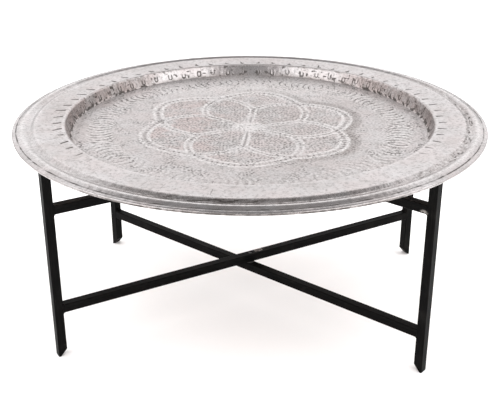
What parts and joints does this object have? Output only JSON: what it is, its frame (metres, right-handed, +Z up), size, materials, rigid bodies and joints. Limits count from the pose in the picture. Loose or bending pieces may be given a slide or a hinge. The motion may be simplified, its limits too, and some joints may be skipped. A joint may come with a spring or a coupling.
{
  "type": "folding tray table",
  "caption": "Round hammered and chased tinned tray with a shallow well and rolled edge, resting on a black square-bar stand whose crossed frames fold about an upright pivot.",
  "frame": {"origin": "on the floor under the middle of the tray and the stand's upright pivot", "axes": "+Z up; +X to the right and +Y away from a viewer in front, half-way between the two crossed frames"},
  "size_m": [0.9999, 1, 0.4575],
  "materials": {
    "tinned_copper": "hand-hammered tinned copper, satin silver with pink where the tin is thin and dark patina in the chased lines",
    "rim_wire": "plain drawn iron wire, hidden in the rolled edge",
    "black_paint": "satin black paint over steel bar, brushed on, worn at edges",
    "pivot_steel": "black painted steel, rubbed bare where the rails turn"
  },
  "bodies": {
    "outer_frame": {"outer_leg_back_left": "black_paint", "outer_leg_front_right": "black_paint", "outer_rail_lower": "black_paint", "outer_rail_upper": "black_paint", "outer_frame_welds": "black_paint", "pivot_pin_lower": "pivot_steel", "pivot_pin_upper": "pivot_steel", "pivot_collar_lower": "pivot_steel", "pivot_collar_upper": "pivot_steel"},
    "inner_frame": {"inner_leg_front_left": "black_paint", "inner_leg_back_right": "black_paint", "inner_rail_lower": "black_paint", "inner_rail_upper": "black_paint", "inner_frame_welds": "black_paint"},
    "tray": {"tray": "tinned_copper", "rim_wire": "rim_wire"}
  },
  "joints": [
    {"name": "frame_fold", "type": "hinge", "parent": "outer_frame", "child": "inner_frame", "pos_m": [0, 0, 0.1114], "axis": [0, 0, 1], "range_deg": [-67, 106]},
    {"name": "tray_lift", "type": "slide", "parent": "outer_frame", "child": "tray", "axis": [0, 0, 1], "range_m": [0, 0.15]}
  ]
}
